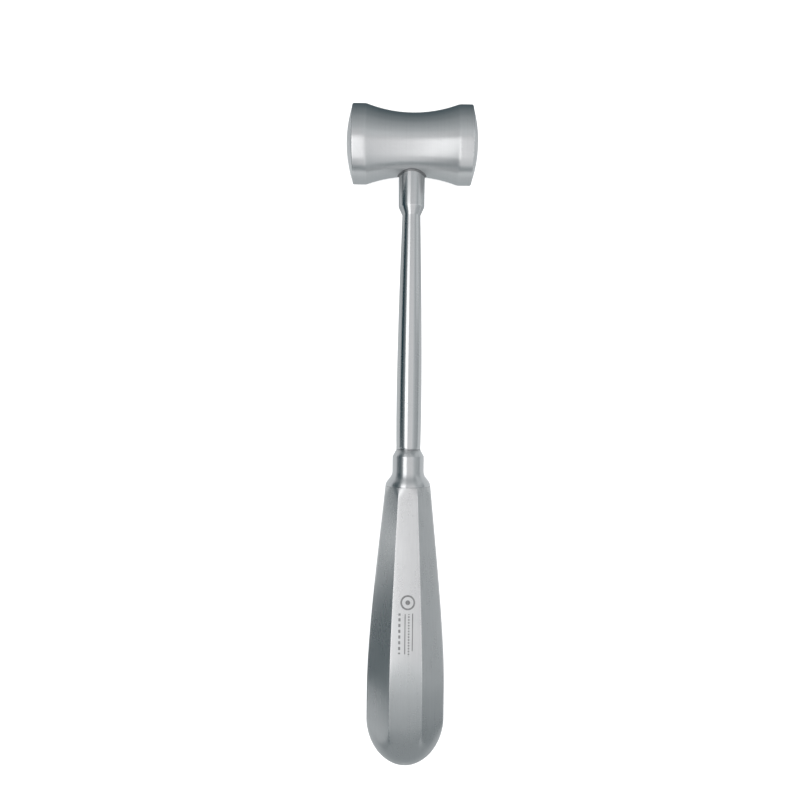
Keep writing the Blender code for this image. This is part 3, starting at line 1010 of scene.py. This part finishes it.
# Brightness of the studio's walls and ceiling, as a metal sees them, by degrees from straight up.
# Across the mallet, left is negative. Along the mallet, towards the butt is positive.
ACROSS = ((-90, 0.52), (-78, 0.32), (-62, 0.12), (-50, 0.28), (-38, 0.60), (-12, 0.80), (0, 0.70), (12, 0.74),
          (30, 0.82), (42, 0.75), (55, 0.60), (68, 0.52), (90, 0.50))
ALONG = ((-90, 0.75), (-60, 0.85), (-37, 0.88), (-14, 0.95), (8, 1.0), (60, 1.05), (76, 1.0), (85, 0.34),
         (90, 0.22))
# The room adds a cool haze to every reflection: it shows in the darks and is lost in the lights
HAZE = (-0.032, 0.0, 0.014)
# The two lamps overhead are warmer: their haze takes away less red
LAMP_HAZE = (-0.006, 0.0, 0.014)

# Brightness of the floor in the metal, by distance from a point under the neck, and by y beyond the head.
# The lamp is near, and the floor beyond the head lies in the head's own shade.
FLOOR_FALL = ((0, 0.76), (80, 0.70), (125, 0.50), (170, 0.36), (260, 0.26), (400, 0.22))
FLOOR_BEYOND_HEAD = ((38, 1.0), (58, 0.84), (90, 0.80), (120, 0.32), (300, 0.30))
FLOOR_STRETCH = 2.2
FLOOR_CENTRE = -20.0

# The two lamps overhead lie side by side
LAMP_HEIGHT = 165
LAMP_LEFT = -112
LAMP_JOIN = -31
LAMP_RIGHT = 110

# Height of the cards that lie on the floor, just clear of it
FLOOR_CARD_HEIGHT = 0.4

# Place of y and of z in a point
Y_AXIS = 1
Z_AXIS = 2

# Brightness of the cards, by y, or by height for the back card
SOFTBOX_FALL = ((-900, 0.9), (-400, 0.9), (-150, 1.0), (-126, 1.5), (-108, 2.0), (99, 2.0), (112, 1.5),
                (124, 0.80), (260, 0.6))
PANEL_FALL = ((-900, 0.95), (-400, 0.95), (-260, 0.88), (-130, 0.88), (-20, 0.90), (20, 0.87), (86, 0.88),
              (104, 0.78), (122, 0.66))
LOW_PANEL_FALL = ((-170, 0.36), (-137, 0.39), (-115, 0.43), (-108, 0.48), (-103, 0.55), (-97, 0.63),
                  (-90, 0.75), (-80, 0.88))
RIGHT_CARD_FALL = ((-160, 0.29), (-118, 0.31), (-106, 0.39), (-92, 0.50))
BACK_CARD_FALL = ((0, 0.10), (12, 0.17), (24, 0.26), (38, 0.41), (58, 0.54), (80, 0.62))
DARK_CARD_FALL = ((-126, 0.14), (-97, 0.14), (-79, 0.15), (-66, 0.155), (-55, 0.24), (-45, 0.48), (-34, 0.88),
                  (-25, 0.45), (-17, 0.10), (0, 0.04), (400, 0.04))


def position_mm(tree):
    """x, y and z of the shaded point, in millimetres."""
    place = tree.nodes.new("ShaderNodeNewGeometry")
    return in_millimetres(tree, place.outputs["Position"])[1:]


def both_of(tree, first, second):
    """Two colours multiplied."""
    node = tree.nodes.new("ShaderNodeVectorMath")
    node.operation = "MULTIPLY"
    tree.links.new(first, node.inputs[0])
    tree.links.new(second, node.inputs[1])
    return node.outputs[0]


def hazed(tree, light, strength=1.0, tint=HAZE):
    """A light with the room's haze. strength is what the glow multiplies it by."""
    haze = tree.nodes.new("ShaderNodeVectorMath")
    haze.operation = "ADD"
    haze.inputs[1].default_value = [part / strength for part in tint]
    tree.links.new(light, haze.inputs[0])
    return haze.outputs[0]


def make_dome():
    """The studio's walls and ceiling, which only reflections meet."""
    material, tree, emission = glow("studio_walls", 1.0)
    x, y, z = position_mm(tree)
    degrees = 180.0 / math.pi
    across = maths(tree, "MULTIPLY", maths(tree, "ARCTAN2", x, z), degrees)
    along = maths(tree, "MULTIPLY", maths(tree, "ARCTAN2", y, diagonal(tree, x, z)), -degrees)
    light = both_of(tree, curve_of(tree, across, ACROSS), curve_of(tree, along, ALONG))
    tree.links.new(hazed(tree, light), emission.inputs["Color"])
    points = []
    for i in range(DOME_ROWS):
        lift = math.pi / 2 * i / DOME_ROWS
        out = DOME_RADIUS * math.cos(lift)
        for k in range(DOME_TURNS):
            angle = 2 * math.pi * k / DOME_TURNS
            points.append((out * math.cos(angle), out * math.sin(angle), DOME_RADIUS * math.sin(lift)))
    points.append((0.0, 0.0, DOME_RADIUS))
    faces = between_rings(DOME_ROWS, DOME_TURNS)
    last = (DOME_ROWS - 1) * DOME_TURNS
    for k in range(DOME_TURNS):
        faces.append((last + k, last + (k + 1) % DOME_TURNS, last + DOME_TURNS))
    seen_by(stage_mesh("studio_walls", points, faces, material), glossy=True)


def make_floor():
    """White paper for the camera, and in its place a darker floor that only reflections meet."""
    material = bpy.data.materials.new("paper_floor")
    material.use_nodes = True
    shader = material.node_tree.nodes["Principled BSDF"]
    shader.inputs["Base Color"].default_value = (FLOOR_WHITE, FLOOR_WHITE, FLOOR_WHITE, 1.0)
    shader.inputs["Roughness"].default_value = 0.9
    shader.inputs["Specular IOR Level"].default_value = 0.0
    shader.inputs["Emission Color"].default_value = (1.0, 1.0, 1.0, 1.0)
    shader.inputs["Emission Strength"].default_value = FLOOR_GLOW
    material.cycles.emission_sampling = "NONE"
    seen_by(stage_mesh("floor", *floor_disc(), material), camera=True, diffuse=True)
    reflected, tree, emission = glow("floor_in_metal", 1.0)
    x, y = position_mm(tree)[:2]
    squeezed = maths(tree, "DIVIDE", x, FLOOR_STRETCH)
    reach = diagonal(tree, squeezed, maths(tree, "SUBTRACT", y, FLOOR_CENTRE))
    light = both_of(tree, curve_of(tree, reach, FLOOR_FALL), curve_of(tree, y, FLOOR_BEYOND_HEAD))
    tree.links.new(hazed(tree, light), emission.inputs["Color"])
    seen_by(stage_mesh("floor_in_metal", *floor_disc(), reflected), glossy=True)


def lying(x, y, z):
    """Corners of a level card. x and y are (from, to)."""
    return [(x[0], y[0], z), (x[1], y[0], z), (x[1], y[1], z), (x[0], y[1], z)]


def facing_along(x, y, z):
    """Corners of an upright card that faces along the mallet. x and z are (from, to)."""
    return [(x[0], y, z[0]), (x[1], y, z[0]), (x[1], y, z[1]), (x[0], y, z[1])]


def facing_across(x, y, z):
    """Corners of an upright card that faces across the mallet. y and z are (from, to)."""
    return [(x, y[0], z[0]), (x, y[1], z[0]), (x, y[1], z[1]), (x, y[0], z[1])]


def reach_of(falls):
    """The first and the last place of a card's brightness steps."""
    return falls[0][0], falls[-1][0]


def card(name, corners, strength):
    """A flat card that only the metal's reflections meet. Returns its node tree and its emission node."""
    material, tree, emission = glow(name, strength)
    emission.inputs["Color"].default_value = (*[1.0 + part / strength for part in HAZE], 1.0)
    seen_by(stage_mesh(name, corners, [tuple(range(len(corners)))], material), glossy=True)
    return tree, emission


def shaded_card(name, corners, axis, falls, tint=HAZE):
    """A card whose glow runs through (place, brightness) steps along an axis."""
    brightest = max(level for _, level in falls)
    tree, emission = card(name, corners, brightest)
    steps = [(place, level / brightest) for place, level in falls]
    light = curve_of(tree, position_mm(tree)[axis], steps)
    tree.links.new(hazed(tree, light, brightest, tint), emission.inputs["Color"])


def make_cards():
    """Softbox over the left side, weaker panel over the right, and grey and dark cards low down."""
    lamp_left = lying((LAMP_LEFT, LAMP_JOIN), reach_of(SOFTBOX_FALL), LAMP_HEIGHT)
    shaded_card("softbox", lamp_left, Y_AXIS, SOFTBOX_FALL, LAMP_HAZE)
    lamp_right = lying((LAMP_JOIN, LAMP_RIGHT), reach_of(PANEL_FALL), LAMP_HEIGHT)
    shaded_card("panel", lamp_right, Y_AXIS, PANEL_FALL, LAMP_HAZE)
    low_edge = [(-10, -80), (-60, -118), (-60, -170), (60, -170), (60, -80)]
    shaded_card("low_panel", [(x, y, 60) for x, y in low_edge], Y_AXIS, LOW_PANEL_FALL)
    right_side = facing_across(60, reach_of(RIGHT_CARD_FALL), (0.5, 50))
    shaded_card("right_card", right_side, Y_AXIS, RIGHT_CARD_FALL)
    card("bounce_left", lying((-90, -24), (78, 118), FLOOR_CARD_HEIGHT), 0.72)
    card("bounce_right", lying((24, 90), (78, 118), FLOOR_CARD_HEIGHT), 0.62)
    shaded_card("back_card", facing_along((-75, 75), 128, reach_of(BACK_CARD_FALL)), Z_AXIS, BACK_CARD_FALL)
    dark_edge = [(-106, 1), (-84, 5), (-30, 21), (400, 34), (400, 70), (-30, 56), (-129, 44)]
    shaded_card("dark_card", [(-100, y, z) for y, z in dark_edge], Y_AXIS, DARK_CARD_FALL)
    mat_edge = [(-100, -104), (-24, -104), (-24, -50), (-100, -66)]
    card("dark_mat", [(x, y, FLOOR_CARD_HEIGHT) for x, y in mat_edge], 0.25)
    card("left_fill", [(-101, -190, 0.5), (-101, -80, 0.5), (-101, -124, 42), (-101, -190, 42)], 0.66)
    card("grey_card", facing_along((-26, 26), -134, (8, 52)), 0.38)
    card("side_card", facing_across(105, (50, 140), (0, 70)), 0.78)


def make_world():
    """An even white room for diffuse light. Reflections see the stage in its place."""
    world = bpy.data.worlds.new("white_room")
    world.use_nodes = True
    world.node_tree.nodes["Background"].inputs["Color"].default_value = (1.0, 1.0, 1.0, 1.0)
    bpy.context.scene.world = world
    world.cycles_visibility.glossy = False
    bpy.context.scene.view_settings.view_transform = "Standard"


def make_camera():
    """The camera that is used when no other view is asked for."""
    data = bpy.data.cameras.new("camera")
    data.lens = CAMERA_LENS
    data.sensor_width = 36.0
    data.clip_start = 0.01
    camera = linked("camera", data)
    camera.location = (CAMERA_POINT[0] * MM, CAMERA_POINT[1] * MM, (AXIS_Z + CAMERA_HEIGHT) * MM)
    camera.rotation_euler = (0.0, 0.0, CAMERA_ROLL)
    bpy.context.scene.camera = camera


make_dome()
make_floor()
make_cards()
make_world()
make_camera()
